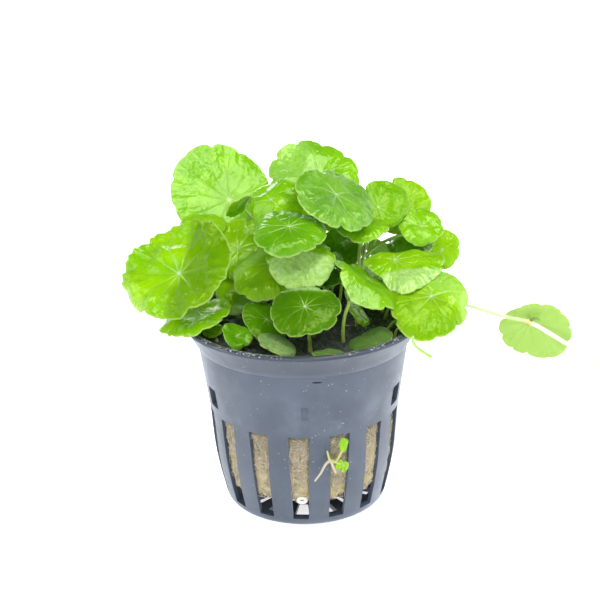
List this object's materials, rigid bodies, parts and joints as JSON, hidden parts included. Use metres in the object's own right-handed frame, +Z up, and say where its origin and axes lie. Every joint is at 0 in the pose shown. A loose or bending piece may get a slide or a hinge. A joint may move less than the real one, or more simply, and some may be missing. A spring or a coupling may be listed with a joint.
{
  "type": "potted pennywort plant",
  "caption": "Whorled pennywort with round scalloped leaves on slender stalks, rooted in mineral wool in a slotted plastic pot, with a runner hanging out to one side.",
  "frame": {"origin": "middle of the pot's underside, on the surface it stands on", "axes": "+Z up along the pot's axis, -Y towards the front of the picture, +X towards the side where the runner hangs"},
  "size_m": [0.1173, 0.0635, 0.0807],
  "materials": {
    "pot_plastic": "satin blue-grey moulded plastic with light scuffs",
    "wool": "beige mineral wool, damp and dark on top",
    "leaf": "soft gloss of a fresh green leaf with paler veins",
    "pale_leaf": "pale yellow-green underside of a leaf",
    "young_leaf": "small fresh green leaves, stem and roots",
    "runner_stem": "smooth pale green stem",
    "root": "smooth off-white root"
  },
  "bodies": {
    "root": {"curled_shoot": "runner_stem", "leaf_back_far_left": "leaf", "leaf_back_high_left": "leaf", "leaf_back_high_right": "leaf", "leaf_back_left": "leaf", "leaf_back_left_low": "leaf", "leaf_back_low": "leaf", "leaf_back_middle": "leaf", "leaf_back_middle_right": "leaf", "leaf_back_right": "leaf", "leaf_back_right_low": "leaf", "leaf_back_rim_left": "leaf", "leaf_back_rim_right": "leaf", "leaf_back_top": "leaf", "leaf_behind_left": "leaf", "leaf_big_left": "leaf", "leaf_centre": "leaf", "leaf_curled": "leaf", "leaf_curved": "leaf", "leaf_edge_on": "leaf", "leaf_folded": "leaf", "leaf_front": "leaf", "leaf_front_left": "leaf", "leaf_front_right": "leaf", "leaf_inner_dark": "leaf", "leaf_left_inner": "leaf", "leaf_left_low": "leaf", "leaf_low_dark": "leaf", "leaf_mid_left": "leaf", "leaf_on_runner": "pale_leaf", "leaf_right_dark": "leaf", "leaf_right_far": "leaf", "leaf_right_upper": "leaf", "leaf_rim_front": "leaf", "leaf_rim_front_small": "leaf", "leaf_rim_left": "leaf", "leaf_rim_left_small": "leaf", "leaf_rim_right": "leaf", "leaf_side_left": "leaf", "leaf_side_right": "leaf", "leaf_slanted": "leaf", "leaf_slender": "leaf", "leaf_top": "leaf", "leaf_tucked": "leaf", "leaf_under_centre": "leaf", "leaf_under_left": "leaf", "leaf_upper_mid": "leaf", "leaf_upper_right": "leaf", "pot": "pot_plastic", "root_curl": "root", "runner": "runner_stem", "slot_plantlet": "young_leaf", "wool_plug": "wool"}
  },
  "joints": []
}
